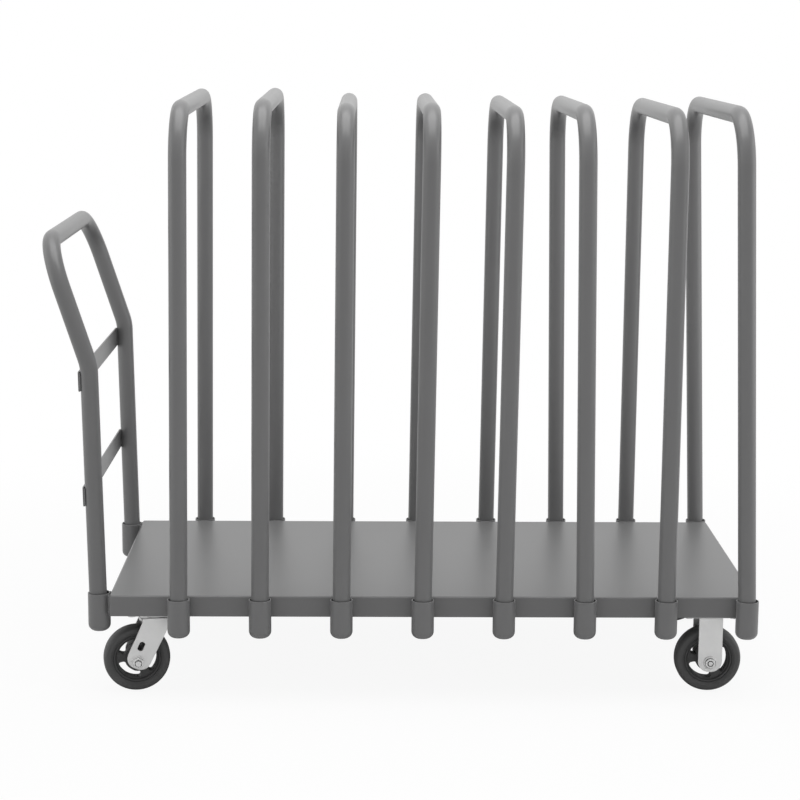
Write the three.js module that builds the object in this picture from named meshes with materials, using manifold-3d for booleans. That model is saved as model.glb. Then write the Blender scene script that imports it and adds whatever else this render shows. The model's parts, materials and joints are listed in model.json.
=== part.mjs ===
// A sheet goods cart: a flat steel deck with eight lift-out tube dividers standing in welded pockets,
// a lift-out push handle at one end, two swivel casters under the handle and two rigid casters.
// Millimetres. +X runs along the deck away from the handle, +Y runs to the back, +Z is up.
import * as THREE from "three";
import { mergeVertices } from "three/addons/utils/BufferGeometryUtils.js";
import Module from "manifold-3d";

const wasm = await Module();
wasm.setup();

// Units, the clearance left between pieces that are welded, bolted or resting on each other, how far a
// cutter or a joined piece runs past a face, and the facets of a small rounded corner
const INCH = 25.4;
const DEGREE = Math.PI / 180;
const FIT_GAP = 0.3;
const CUT_OVERRUN = 1;
const CORNER_STEPS = 2;

// Deck pan: one sheet with its four edges folded down
const DECK_LENGTH = 48 * INCH;
const DECK_WIDTH = 24 * INCH;
const PAN_DEPTH = 39.7;
const SHEET = 2.7;
const PAN_BEND = 3.5;
const PAN_CORNER = 4.5;

// Channels under the sheet: one across each end that carries two casters, one along the middle
const CASTER_CHANNEL_WIDTH = 120;
const CASTER_CHANNEL_WALL = 4.8;
const STIFFENER_WIDTH = 76;
const STIFFENER_WALL = 2.7;

// Tube of the dividers and the handle, one inch pipe bent on one die
const TUBE_RADIUS = 16.7;
const TUBE_WALL = 3.4;
const BEND_RADIUS = 3.5 * INCH;
const TUBE_SIDES = 12;
const BORE_SIDES = 6;
const BEND_STEPS = 4;

// Pockets: closed cups welded to the outside of the deck, rims level with its top
const POCKET_RADIUS = 21.1;
const POCKET_BORE_RADIUS = 19;
const POCKET_HEIGHT = 73.5;
const POCKET_FLOOR = 9;
const POCKET_ROUNDING = 10;
const POCKET_SIDES = 12;

// Dividers, numbered from the handle end. Each leans a little in its loose pockets, in degrees
// towards +X, and is cut a few steps longer than the shortest one.
const DIVIDER_PITCH = 6 * INCH;
const LAST_DIVIDER_INSET = 20;
const DIVIDER_RISE = 914;
const CUT_STEP = 1;
const DIVIDERS = [
  { lean: 0.5, steps: 13 },
  { lean: 0.4, steps: 15 },
  { lean: 0.4, steps: 5 },
  { lean: 0.65, steps: 6 },
  { lean: 0.6, steps: 2 },
  { lean: -0.85, steps: 5 },
  { lean: 0.1, steps: 0 },
  { lean: -2.05, steps: 4 },
];

// Push handle, which leans and is turned a little in its loose pockets
const HANDLE_INSET = 1 * INCH;
const HANDLE_RISE = 26.8 * INCH;
const HANDLE_KINK_RISE = 17.1 * INCH;
const HANDLE_KINK = 17;
const HANDLE_LEAN = -1.2;
const HANDLE_TURN = -0.25;
const STRAP_HEIGHT = 38;
const STRAP_THICKNESS = 3.2;
const STRAP_ROUNDING = 4;
const STRAP_OVERRUN = 6;
const LOWER_STRAP_RISE = 7.3 * INCH;
const UPPER_STRAP_RISE = 15.9 * INCH;

// Casters: places of their centres from the deck's ends and long edges
const SWIVEL_INSET_X = 81.7;
const RIGID_INSET_X = 78.5;
const CASTER_INSET_Y = 2.6 * INCH;
const SWIVEL_TRAIL = 38;
const SWIVEL_TURNS = { front: 9.5, back: 0 };

// Caster wheel: a cast core with three windows inside a solid tyre
const WHEEL_RADIUS = 2.5 * INCH;
const TYRE_HALF_WIDTH = 0.75 * INCH;
const TREAD_FLAT_HALF = 8;
const TREAD_CROWN = 2;
const TYRE_SHOULDER = 3.2;
const TYRE_CHEEK = 4;
const WHEEL_SIDES = 18;
const RIM_RADIUS = 45;
const RIM_HALF_WIDTH = 15;
const RIM_WALL = 5.5;
const WEB_HALF = 11;
const CORE_DRAFT = 2;
const HUB_RADIUS = 19;
const WINDOW_INNER = 24;
const WINDOW_OUTER = 37.6;
const WINDOW_SWEEP = 88;
const WINDOW_TUCK = 5;
const WINDOW_STEPS = 3;
const SPOKES = 3;
const SPOKE_ANGLE = 177;
const BEARING_RADIUS = 12;
const BEARING_SIDES = 8;
const AXLE_SIDES = 8;
const HEXAGON = 6;

// Caster fork, axle and mounting plate
const PLATE_LENGTH = 105;
const PLATE_WIDTH = 92;
const PLATE_THICKNESS = 6.35;
const PLATE_CORNER = 8;
const BOLT_SPACING_X = 84;
const BOLT_SPACING_Y = 71;
const BOLT_HOLE_RADIUS = 5.2;
const BOLT_HOLE_SIDES = 6;
const LEG_THICKNESS = 5;
const LEG_WIDTH = 45.5;
const LEG_TOP_WIDTH = 48.5;
const LEG_INNER = 32.5;
const LEG_BEND = 9;
const LEG_ENDS = {
  swivel: { below: 13.5, rounding: 19 },
  rigid: { below: 18.5, rounding: 21 },
};
const SLOT_WIDTH = 11;
const SLOT_LENGTH = 18;
const SLOT_ABOVE_AXLE = 30.5;
const SLOT_ASIDE = -7.2;
const SLOT_STEPS = 2;
const AXLE_RADIUS = 6.35;
const AXLE_NUT_RADIUS = 10.9;
const AXLE_NUT_HEIGHT = 9;
const AXLE_END = 5;

// Swivel head between the plate and the fork crown
const WHEEL_TOP_GAP = 10.3;
const RACE_RADIUS = 33;
const RACE_DEPTH = 5;
const RACE_SKIRT = 3.5;
const SKIRT_GAP = 0.8;
const BALL_RADIUS = 3;
const BALL_CIRCLE = 25;
const BALL_RING_SIDES = 5;
const CROWN_THICKNESS = 5.5;
const KINGPIN_RADIUS = 8;
const KINGPIN_HEAD_RADIUS = 14;
const KINGPIN_HEAD_HEIGHT = 4;
const RACE_SIDES = 12;
const KINGPIN_SIDES = 8;

// Derived places, from the wheels up to the deck
const CROWN_BOTTOM = 2 * WHEEL_RADIUS + WHEEL_TOP_GAP;
const CROWN_TOP = CROWN_BOTTOM + CROWN_THICKNESS;
const RACE_BOTTOM = CROWN_TOP + 2 * BALL_RADIUS;
const PLATE_BOTTOM = RACE_BOTTOM + RACE_DEPTH;
const CASTER_TOP = PLATE_BOTTOM + PLATE_THICKNESS;
const PAN_BOTTOM = CASTER_TOP + FIT_GAP;
const DECK_TOP = PAN_BOTTOM + PAN_DEPTH;
const POCKET_OFFSET = POCKET_RADIUS + FIT_GAP;
const POCKET_BOTTOM = DECK_TOP - POCKET_HEIGHT;
const SEAT = POCKET_BOTTOM + POCKET_FLOOR;
const SEAT_MIDDLE = (SEAT + DECK_TOP) / 2;
const LEG_HALF_SPAN = DECK_WIDTH / 2 + POCKET_OFFSET;
const LAST_DIVIDER_X = DECK_LENGTH / 2 - LAST_DIVIDER_INSET;
const HANDLE_X = -DECK_LENGTH / 2 - POCKET_OFFSET;
const HANDLE_HALF_SPAN = DECK_WIDTH / 2 - HANDLE_INSET;
const SWIVEL_X = DECK_LENGTH / 2 - SWIVEL_INSET_X;
const RIGID_X = DECK_LENGTH / 2 - RIGID_INSET_X;
const CASTER_Y = DECK_WIDTH / 2 - CASTER_INSET_Y;
const LEG_OUTER = LEG_INNER + LEG_THICKNESS;
const HUB_HALF = LEG_INNER - 2 * FIT_GAP;

const FINISHES = {
  painted: { color: 0x6e6f71, roughness: 0.55, metalness: 0.1 },
  zinc: { color: 0xc6c8ca, roughness: 0.35, metalness: 0.9 },
  steel: { color: 0x9a9c9e, roughness: 0.4, metalness: 0.9 },
  iron: { color: 0x202122, roughness: 0.6, metalness: 0.4 },
  rubber: { color: 0x303133, roughness: 0.85, metalness: 0 },
};

// Solids

function solidOf(geometry) {
  const bare = new THREE.BufferGeometry();
  const loose = geometry.index ? geometry.toNonIndexed() : geometry;
  bare.setAttribute("position", loose.getAttribute("position").clone());
  const merged = mergeVertices(bare, 1e-4);
  const corners = [];
  for (let i = 0; i < merged.index.count; i += 3) {
    const [a, b, c] = merged.index.array.slice(i, i + 3);
    if (a !== b && b !== c && c !== a) {
      corners.push(a, b, c);
    }
  }
  const mesh = new wasm.Mesh({
    numProp: 3,
    vertProperties: merged.attributes.position.array,
    triVerts: new Uint32Array(corners),
  });
  return new wasm.Manifold(mesh);
}

function geometryOf(solid) {
  const mesh = solid.getMesh();
  const geometry = new THREE.BufferGeometry();
  geometry.setAttribute("position", new THREE.BufferAttribute(mesh.vertProperties, 3));
  geometry.setIndex(new THREE.BufferAttribute(mesh.triVerts, 1));
  const flat = geometry.toNonIndexed();
  flat.computeVertexNormals();
  return flat;
}

function joined(geometries) {
  return geometries.map(solidOf).reduce((whole, piece) => whole.add(piece));
}

function cutBy(solid, geometries) {
  return geometries.reduce((left, cutter) => left.subtract(solidOf(cutter)), solid);
}

function circlePoints(radius, sides) {
  const points = [];
  for (let i = 0; i < sides; i += 1) {
    const angle = (2 * Math.PI * (i + 0.5)) / sides;
    points.push(new THREE.Vector2(radius * Math.cos(angle), radius * Math.sin(angle)));
  }
  return points;
}

// Radius of the regular polygon that has the area of a circle, and of the one drawn round it
function equalAreaRadius(radius, sides) {
  const step = (2 * Math.PI) / sides;
  return radius * Math.sqrt(step / Math.sin(step));
}

function aroundRadius(radius, sides) {
  return radius / Math.cos(Math.PI / sides);
}

function roundedBox(lengthX, lengthY, corner) {
  const x = lengthX / 2;
  const y = lengthY / 2;
  const shape = new THREE.Shape();
  shape.absarc(x - corner, y - corner, corner, 0, Math.PI / 2);
  shape.absarc(-x + corner, y - corner, corner, Math.PI / 2, Math.PI);
  shape.absarc(-x + corner, -y + corner, corner, Math.PI, 1.5 * Math.PI);
  shape.absarc(x - corner, -y + corner, corner, 1.5 * Math.PI, 2 * Math.PI);
  return shape;
}

// A shape drawn in X and Y, made as thick as height and standing on z
function slab(shape, height, z, curveSegments = CORNER_STEPS) {
  const options = { depth: height, bevelEnabled: false, curveSegments };
  return new THREE.ExtrudeGeometry(shape, options).translate(0, 0, z);
}

// A shape drawn in X and Z, running along Y from start to end
function alongY(shape, start, end, curveSegments = CORNER_STEPS) {
  const options = { depth: end - start, bevelEnabled: false, curveSegments };
  return new THREE.ExtrudeGeometry(shape, options).rotateX(Math.PI / 2).translate(0, end, 0);
}

function boxBetween(low, high) {
  const size = new THREE.Vector3().subVectors(high, low);
  const middle = new THREE.Vector3().addVectors(low, high).multiplyScalar(0.5);
  return new THREE.BoxGeometry(size.x, size.y, size.z).translate(middle.x, middle.y, middle.z);
}

// A pin along Z or along Y, from start to end
function pinZ(radius, start, end, sides) {
  const pin = new THREE.CylinderGeometry(radius, radius, end - start, sides).rotateX(Math.PI / 2);
  return pin.translate(0, 0, (start + end) / 2);
}

function pinY(radius, start, end, sides) {
  return new THREE.CylinderGeometry(radius, radius, end - start, sides).translate(0, (start + end) / 2, 0);
}

// A turned ring or cup about Y, with flats facing along the axes. The profile is radius, then height.
function turned(profile, sides) {
  const points = profile.map(([radius, height]) => new THREE.Vector2(radius, height));
  return new THREE.LatheGeometry(points, sides, Math.PI / sides);
}

// A bent tube's middle line: straight runs between corner points, each corner turned on the bend
// radius. Its parameter counts stations, so a straight run takes one step and a bend a few.
class TubeLine extends THREE.Curve {
  constructor(corners) {
    super();
    this.points = [corners[0]];
    this.tangents = [new THREE.Vector3().subVectors(corners[1], corners[0]).normalize()];
    for (let i = 1; i < corners.length - 1; i += 1) {
      this.addBend(corners[i], new THREE.Vector3().subVectors(corners[i + 1], corners[i]).normalize());
    }
    this.points.push(corners[corners.length - 1]);
    this.tangents.push(this.tangents[this.tangents.length - 1]);
    this.steps = this.points.length - 1;
  }

  addBend(corner, leaving) {
    const coming = this.tangents[this.tangents.length - 1];
    const turn = coming.angleTo(leaving);
    const axis = new THREE.Vector3().crossVectors(coming, leaving).normalize();
    const inward = new THREE.Vector3().crossVectors(axis, coming);
    const start = corner.clone().addScaledVector(coming, -BEND_RADIUS * Math.tan(turn / 2));
    const centre = start.clone().addScaledVector(inward, BEND_RADIUS);
    const steps = Math.max(2, Math.round((BEND_STEPS * turn) / (Math.PI / 2)));
    for (let k = 0; k <= steps; k += 1) {
      const spoke = inward.clone().multiplyScalar(-BEND_RADIUS).applyAxisAngle(axis, (turn * k) / steps);
      this.points.push(spoke.add(centre));
      this.tangents.push(coming.clone().applyAxisAngle(axis, (turn * k) / steps));
    }
  }

  getUtoTmapping(u) {
    return u;
  }

  getPoint(t, target = new THREE.Vector3()) {
    const place = t * this.steps;
    const i = Math.min(Math.floor(place), this.steps - 1);
    return target.lerpVectors(this.points[i], this.points[i + 1], place - i);
  }

  getTangent(t, target = new THREE.Vector3()) {
    return target.copy(this.tangents[Math.round(t * this.steps)]);
  }
}

function bentTube(corners) {
  const outside = equalAreaRadius(TUBE_RADIUS, TUBE_SIDES);
  const inside = equalAreaRadius(TUBE_RADIUS - TUBE_WALL, BORE_SIDES);
  const section = new THREE.Shape(circlePoints(outside, TUBE_SIDES));
  section.holes.push(new THREE.Path(circlePoints(inside, BORE_SIDES)));
  const line = new TubeLine(corners);
  return new THREE.ExtrudeGeometry(section, { steps: line.steps, extrudePath: line });
}

// Named meshes

function addPiece(parent, name, finish, shape) {
  const solid = shape.isBufferGeometry ? solidOf(shape) : shape;
  const mesh = new THREE.Mesh(geometryOf(solid), new THREE.MeshStandardMaterial(FINISHES[finish]));
  mesh.name = name;
  parent.add(mesh);
  return mesh;
}

const cart = new THREE.Group();

// Deck

// A block with the pan's outline, drawn in by an inset and rounded into its top, running down past the pan
function panBlock(inset) {
  const bend = PAN_BEND - inset;
  const drawnIn = 2 * (inset + bend);
  const outline = roundedBox(DECK_LENGTH - drawnIn, DECK_WIDTH - drawnIn, PAN_CORNER - PAN_BEND);
  const rounding = { bevelSize: bend, bevelThickness: bend, bevelSegments: CORNER_STEPS };
  const options = { depth: PAN_DEPTH, curveSegments: CORNER_STEPS, ...rounding };
  return new THREE.ExtrudeGeometry(outline, options).translate(0, 0, PAN_BOTTOM - inset - bend);
}

function deckPan() {
  const reach = new THREE.Vector3(DECK_LENGTH, DECK_WIDTH, PAN_DEPTH);
  const below = boxBetween(reach.clone().negate().setZ(PAN_BOTTOM - PAN_DEPTH), reach.setZ(PAN_BOTTOM));
  return cutBy(solidOf(panBlock(0)), [panBlock(SHEET), below]);
}

// A channel open at the top, its web level with the pan's bottom edge
function channelShape(width, wall) {
  const half = width / 2;
  const top = DECK_TOP - SHEET - FIT_GAP;
  const shape = new THREE.Shape();
  shape.moveTo(-half, PAN_BOTTOM);
  shape.lineTo(half, PAN_BOTTOM);
  shape.lineTo(half, top);
  shape.lineTo(half - wall, top);
  shape.lineTo(half - wall, PAN_BOTTOM + wall);
  shape.lineTo(-half + wall, PAN_BOTTOM + wall);
  shape.lineTo(-half + wall, top);
  shape.lineTo(-half, top);
  shape.closePath();
  return shape;
}

function casterChannel() {
  const reach = DECK_WIDTH / 2 - SHEET - FIT_GAP;
  const channel = solidOf(alongY(channelShape(CASTER_CHANNEL_WIDTH, CASTER_CHANNEL_WALL), -reach, reach));
  const holes = [-CASTER_Y, CASTER_Y].flatMap((y) =>
    boltHoles(PAN_BOTTOM, PAN_BOTTOM + CASTER_CHANNEL_WALL).map((hole) => hole.translate(0, y, 0)),
  );
  return cutBy(channel, holes);
}

// Cutters through a plate between two levels: one along Z, and the four of a caster's bolts
function holeZ(radius, start, end, sides) {
  return pinZ(aroundRadius(radius, sides), start - CUT_OVERRUN, end + CUT_OVERRUN, sides);
}

function boltHoles(start, end) {
  const holes = [];
  for (const x of [-BOLT_SPACING_X / 2, BOLT_SPACING_X / 2]) {
    for (const y of [-BOLT_SPACING_Y / 2, BOLT_SPACING_Y / 2]) {
      holes.push(holeZ(BOLT_HOLE_RADIUS, start, end, BOLT_HOLE_SIDES).translate(x, y, 0));
    }
  }
  return holes;
}

addPiece(cart, "deck_pan", "painted", deckPan());
addPiece(cart, "caster_channel_left", "painted", casterChannel()).position.x = -SWIVEL_X;
addPiece(cart, "caster_channel_right", "painted", casterChannel()).position.x = RIGID_X;

const beside = CASTER_CHANNEL_WIDTH / 2 + FIT_GAP;
const stiffener = alongY(channelShape(STIFFENER_WIDTH, STIFFENER_WALL), beside - RIGID_X, SWIVEL_X - beside);
addPiece(cart, "centre_stiffener", "painted", stiffener.rotateZ(Math.PI / 2));

// Pockets

function pocket() {
  const outside = equalAreaRadius(POCKET_RADIUS, POCKET_SIDES);
  const bore = aroundRadius(POCKET_BORE_RADIUS, POCKET_SIDES);
  const flat = outside - POCKET_ROUNDING;
  const slant = POCKET_ROUNDING * Math.SQRT1_2;
  const profile = [
    [0, 0],
    [flat, 0],
    [flat + slant, POCKET_ROUNDING - slant],
    [outside, POCKET_ROUNDING],
    [outside, POCKET_HEIGHT],
    [bore, POCKET_HEIGHT],
    [bore, POCKET_FLOOR],
    [0, POCKET_FLOOR],
  ];
  return turned(profile, POCKET_SIDES).rotateX(Math.PI / 2);
}

function dividerX(number) {
  return LAST_DIVIDER_X - DIVIDER_PITCH * (DIVIDERS.length - number);
}

const sides = { front: -1, back: 1 };
for (const [side, sign] of Object.entries(sides)) {
  for (let number = 1; number <= DIVIDERS.length; number += 1) {
    const cup = addPiece(cart, `pocket_${side}_${number}`, "painted", pocket());
    cup.position.set(dividerX(number), sign * LEG_HALF_SPAN, POCKET_BOTTOM);
  }
  const cup = addPiece(cart, `handle_pocket_${side}`, "painted", pocket());
  cup.position.set(HANDLE_X, sign * HANDLE_HALF_SPAN, POCKET_BOTTOM);
}

// A frame for what stands in pockets: leaning about the middle of the seat, its low corner resting,
// and turned about its own upright axis
function seatedGroup(x, lean, turn = 0) {
  const group = new THREE.Group();
  const lift = FIT_GAP + TUBE_RADIUS * Math.sin(Math.abs(lean) * DEGREE);
  group.position.set(x, 0, SEAT_MIDDLE + lift);
  group.rotation.set(0, lean * DEGREE, turn * DEGREE);
  cart.add(group);
  return group;
}

// Dividers: a tube bent over from a front pocket to the back one

function dividerTube(rise) {
  const foot = SEAT - SEAT_MIDDLE;
  const top = DECK_TOP + rise - TUBE_RADIUS - SEAT_MIDDLE;
  return bentTube([
    new THREE.Vector3(0, -LEG_HALF_SPAN, foot),
    new THREE.Vector3(0, -LEG_HALF_SPAN, top),
    new THREE.Vector3(0, LEG_HALF_SPAN, top),
    new THREE.Vector3(0, LEG_HALF_SPAN, foot),
  ]);
}

DIVIDERS.forEach(({ lean, steps }, index) => {
  const number = index + 1;
  const tube = dividerTube(DIVIDER_RISE + steps * CUT_STEP);
  addPiece(seatedGroup(dividerX(number), lean), `divider_${number}`, "painted", tube);
});

// Handle: legs kinked outwards over the deck's end, joined by a grip bar, braced by two straps

function handleTube() {
  const foot = SEAT - SEAT_MIDDLE;
  const kink = DECK_TOP + HANDLE_KINK_RISE - SEAT_MIDDLE;
  const top = DECK_TOP + HANDLE_RISE - TUBE_RADIUS - SEAT_MIDDLE;
  const out = -(top - kink) * Math.tan(HANDLE_KINK * DEGREE);
  return bentTube([
    new THREE.Vector3(0, -HANDLE_HALF_SPAN, foot),
    new THREE.Vector3(0, -HANDLE_HALF_SPAN, kink),
    new THREE.Vector3(out, -HANDLE_HALF_SPAN, top),
    new THREE.Vector3(out, HANDLE_HALF_SPAN, top),
    new THREE.Vector3(0, HANDLE_HALF_SPAN, kink),
    new THREE.Vector3(0, HANDLE_HALF_SPAN, foot),
  ]);
}

function handleStrap(rise) {
  const reach = HANDLE_HALF_SPAN + STRAP_OVERRUN;
  const shape = roundedBox(STRAP_HEIGHT, 2 * reach, STRAP_ROUNDING);
  const x = -equalAreaRadius(TUBE_RADIUS, TUBE_SIDES) - FIT_GAP - STRAP_THICKNESS;
  const strap = slab(shape, STRAP_THICKNESS, 0).rotateY(Math.PI / 2);
  return strap.translate(x, 0, DECK_TOP + rise - SEAT_MIDDLE);
}

const handle = seatedGroup(HANDLE_X, HANDLE_LEAN, HANDLE_TURN);
addPiece(handle, "handle_tube", "painted", handleTube());
addPiece(handle, "handle_strap_lower", "painted", handleStrap(LOWER_STRAP_RISE));
addPiece(handle, "handle_strap_upper", "painted", handleStrap(UPPER_STRAP_RISE));

// Wheels, turned about Y

function wheelCore() {
  const rim = aroundRadius(RIM_RADIUS, WHEEL_SIDES);
  const bore = aroundRadius(BEARING_RADIUS + FIT_GAP, WHEEL_SIDES);
  const under = rim - RIM_WALL;
  const profile = [
    [bore, -HUB_HALF],
    [HUB_RADIUS, -HUB_HALF],
    [HUB_RADIUS + CORE_DRAFT, -WEB_HALF],
    [under, -WEB_HALF],
    [under + CORE_DRAFT, -RIM_HALF_WIDTH],
    [rim, -RIM_HALF_WIDTH],
    [rim, RIM_HALF_WIDTH],
    [under + CORE_DRAFT, RIM_HALF_WIDTH],
    [under, WEB_HALF],
    [HUB_RADIUS + CORE_DRAFT, WEB_HALF],
    [HUB_RADIUS, HUB_HALF],
    [bore, HUB_HALF],
    [bore, -HUB_HALF],
  ];
  const windows = Array.from({ length: SPOKES }, (_, index) => coreWindow(index));
  return cutBy(solidOf(turned(profile, WHEEL_SIDES)), windows);
}

// A curved window between two spokes, with its corners rounded off by short chords
function coreWindow(index) {
  const middle = SPOKE_ANGLE * DEGREE + (2 * Math.PI * (index + 0.5)) / SPOKES;
  const half = (WINDOW_SWEEP / 2) * DEGREE;
  const tuck = WINDOW_TUCK * DEGREE;
  const shape = new THREE.Shape();
  shape.absarc(0, 0, WINDOW_OUTER, middle - half + tuck, middle + half - tuck);
  shape.absarc(0, 0, (WINDOW_INNER + WINDOW_OUTER) / 2, middle + half, middle + half);
  shape.absarc(0, 0, WINDOW_INNER, middle + half - tuck, middle - half + tuck, true);
  shape.absarc(0, 0, (WINDOW_INNER + WINDOW_OUTER) / 2, middle - half, middle - half);
  return alongY(shape, -WEB_HALF - CUT_OVERRUN, WEB_HALF + CUT_OVERRUN, WINDOW_STEPS);
}

function tyre() {
  const tread = aroundRadius(WHEEL_RADIUS, WHEEL_SIDES);
  const seat = aroundRadius(RIM_RADIUS + FIT_GAP, WHEEL_SIDES);
  const edge = tread - TREAD_CROWN;
  const half = [
    [tread, TREAD_FLAT_HALF],
    [edge, TYRE_HALF_WIDTH - TYRE_SHOULDER],
    [edge - TYRE_SHOULDER, TYRE_HALF_WIDTH],
    [seat + TYRE_CHEEK, TYRE_HALF_WIDTH],
    [seat, RIM_HALF_WIDTH],
  ];
  const mirrored = half.map(([radius, y]) => [radius, -y]).reverse();
  return turned([...mirrored, ...half, mirrored[0]], WHEEL_SIDES);
}

function bearing() {
  const bore = aroundRadius(AXLE_RADIUS + FIT_GAP, BEARING_SIDES);
  const profile = [
    [bore, -HUB_HALF],
    [BEARING_RADIUS, -HUB_HALF],
    [BEARING_RADIUS, HUB_HALF],
    [bore, HUB_HALF],
    [bore, -HUB_HALF],
  ];
  return turned(profile, BEARING_SIDES);
}

// A bolt through both fork legs with its nut, ends along Y
function axleBolt() {
  const face = LEG_OUTER + FIT_GAP;
  const far = face + AXLE_NUT_HEIGHT;
  return joined([
    pinY(AXLE_RADIUS, -far - AXLE_END, far, AXLE_SIDES),
    pinY(AXLE_NUT_RADIUS, -far, -face, HEXAGON),
    pinY(AXLE_NUT_RADIUS, face, far, HEXAGON),
  ]);
}

function addWheel(parent, name, x) {
  const pieces = [
    addPiece(parent, `${name}_wheel_core`, "iron", wheelCore()),
    addPiece(parent, `${name}_tyre`, "rubber", tyre()),
    addPiece(parent, `${name}_bearing`, "steel", bearing()),
    addPiece(parent, `${name}_axle`, "zinc", axleBolt()),
  ];
  pieces.forEach((piece) => piece.position.set(x, 0, WHEEL_RADIUS));
}

// Fork legs

// The outline of a leg in X and Z from the axle up to a level, leaning so that its top is over x = 0
// and widening a little on the way up
function legShape(axleX, top, { below, rounding }) {
  const rise = top - WHEEL_RADIUS;
  const along = new THREE.Vector2(-axleX, rise).normalize();
  const across = new THREE.Vector2(along.y, -along.x);
  const heading = along.angle();
  const axle = new THREE.Vector2(axleX, WHEEL_RADIUS);
  const corner = LEG_WIDTH / 2 - rounding;
  const shape = new THREE.Shape();
  for (const side of [-1, 1]) {
    const low = axle.clone().addScaledVector(across, side * corner).addScaledVector(along, rounding - below);
    const from = heading + Math.PI * (0.75 + 0.25 * side);
    shape.absarc(low.x, low.y, rounding, from, from + Math.PI / 2);
  }
  const topHalf = LEG_TOP_WIDTH / (2 * across.x);
  shape.lineTo(topHalf, top);
  shape.lineTo(-topHalf, top);
  shape.closePath();
  return shape;
}

// Half the way that a cutter needs to pass both legs
const LEG_REACH = LEG_OUTER + CUT_OVERRUN;

function axleHole(x) {
  const radius = aroundRadius(AXLE_RADIUS + FIT_GAP, AXLE_SIDES);
  return pinY(radius, -LEG_REACH, LEG_REACH, AXLE_SIDES).translate(x, 0, WHEEL_RADIUS);
}

// Upright sides from the floor, rounded into a flat top
function archShape(half, top, bend) {
  const shape = new THREE.Shape();
  shape.moveTo(-half, 0);
  shape.lineTo(half, 0);
  shape.absarc(half - bend, top - bend, bend, 0, Math.PI / 2);
  shape.absarc(-half + bend, top - bend, bend, Math.PI / 2, Math.PI);
  shape.closePath();
  return shape;
}

// A strip bent over the wheel into an upside-down U and trimmed to the outline of its legs
function bentFork(axleX, top, ends) {
  const reach = LEG_TOP_WIDTH + Math.abs(axleX);
  const past = reach + CUT_OVERRUN;
  const outer = alongY(archShape(LEG_OUTER, top, LEG_BEND), -reach, reach);
  const inner = alongY(archShape(LEG_INNER, top - LEG_THICKNESS, LEG_BEND - LEG_THICKNESS), -past, past);
  const strip = cutBy(solidOf(outer.rotateZ(Math.PI / 2)), [inner.rotateZ(Math.PI / 2)]);
  return strip.intersect(solidOf(alongY(legShape(axleX, top, ends), -LEG_REACH, LEG_REACH)));
}

// A slot through both legs of the swivel fork, in line with the leg and a little behind its middle
function legSlot(axleX, top) {
  const along = new THREE.Vector2(-axleX, top - WHEEL_RADIUS).normalize();
  const across = new THREE.Vector2(along.y, -along.x);
  const slot = new THREE.Shape();
  const half = (SLOT_LENGTH - SLOT_WIDTH) / 2;
  slot.absarc(0, half, SLOT_WIDTH / 2, 0, Math.PI);
  slot.absarc(0, -half, SLOT_WIDTH / 2, Math.PI, 2 * Math.PI);
  const cutter = alongY(slot, -LEG_REACH, LEG_REACH, SLOT_STEPS).rotateY(Math.PI / 2 - along.angle());
  const place = new THREE.Vector2(axleX, WHEEL_RADIUS);
  place.addScaledVector(along, SLOT_ABOVE_AXLE).addScaledVector(across, SLOT_ASIDE);
  return cutter.translate(place.x, 0, place.y);
}

// Swivel caster

// The plate with its race, whose skirt comes down round the balls and nearly meets the crown
function swivelPlate() {
  const plate = slab(roundedBox(PLATE_LENGTH, PLATE_WIDTH, PLATE_CORNER), PLATE_THICKNESS, PLATE_BOTTOM);
  const race = pinZ(RACE_RADIUS, CROWN_TOP + SKIRT_GAP, PLATE_BOTTOM + CUT_OVERRUN, RACE_SIDES);
  const track = pinZ(RACE_RADIUS - RACE_SKIRT, CROWN_TOP, RACE_BOTTOM, RACE_SIDES);
  const hole = holeZ(KINGPIN_RADIUS + FIT_GAP, RACE_BOTTOM, CASTER_TOP, KINGPIN_SIDES);
  return cutBy(joined([plate, race]), [track, hole, ...boltHoles(PLATE_BOTTOM, CASTER_TOP)]);
}

function ballRing() {
  const middle = (RACE_BOTTOM + CROWN_TOP) / 2;
  const radius = BALL_RADIUS - FIT_GAP;
  return new THREE.TorusGeometry(BALL_CIRCLE, radius, BALL_RING_SIDES, RACE_SIDES).translate(0, 0, middle);
}

function kingpin() {
  const head = CROWN_BOTTOM - FIT_GAP;
  return joined([
    pinZ(KINGPIN_RADIUS, head - CUT_OVERRUN, CASTER_TOP - FIT_GAP, KINGPIN_SIDES),
    pinZ(KINGPIN_HEAD_RADIUS, head - KINGPIN_HEAD_HEIGHT, head, KINGPIN_SIDES),
  ]);
}

function swivelFork() {
  const crown = solidOf(pinZ(RACE_RADIUS, CROWN_BOTTOM, CROWN_TOP, RACE_SIDES));
  const body = crown.add(bentFork(-SWIVEL_TRAIL, CROWN_TOP, LEG_ENDS.swivel));
  const hole = holeZ(KINGPIN_RADIUS + FIT_GAP, CROWN_BOTTOM, CROWN_TOP, KINGPIN_SIDES);
  return cutBy(body, [hole, axleHole(-SWIVEL_TRAIL), legSlot(-SWIVEL_TRAIL, CROWN_TOP)]);
}

function addSwivelCaster(side, sign) {
  const name = `swivel_${side}`;
  const fixed = new THREE.Group();
  fixed.position.set(-SWIVEL_X, sign * CASTER_Y, 0);
  addPiece(fixed, `${name}_plate`, "zinc", swivelPlate());
  addPiece(fixed, `${name}_kingpin`, "zinc", kingpin());
  const turning = new THREE.Group();
  turning.rotation.z = SWIVEL_TURNS[side] * DEGREE;
  addPiece(turning, `${name}_ball_ring`, "steel", ballRing());
  addPiece(turning, `${name}_fork`, "zinc", swivelFork());
  addWheel(turning, name, -SWIVEL_TRAIL);
  fixed.add(turning);
  cart.add(fixed);
}

// Rigid caster: a plate with the bent fork welded under it

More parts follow.
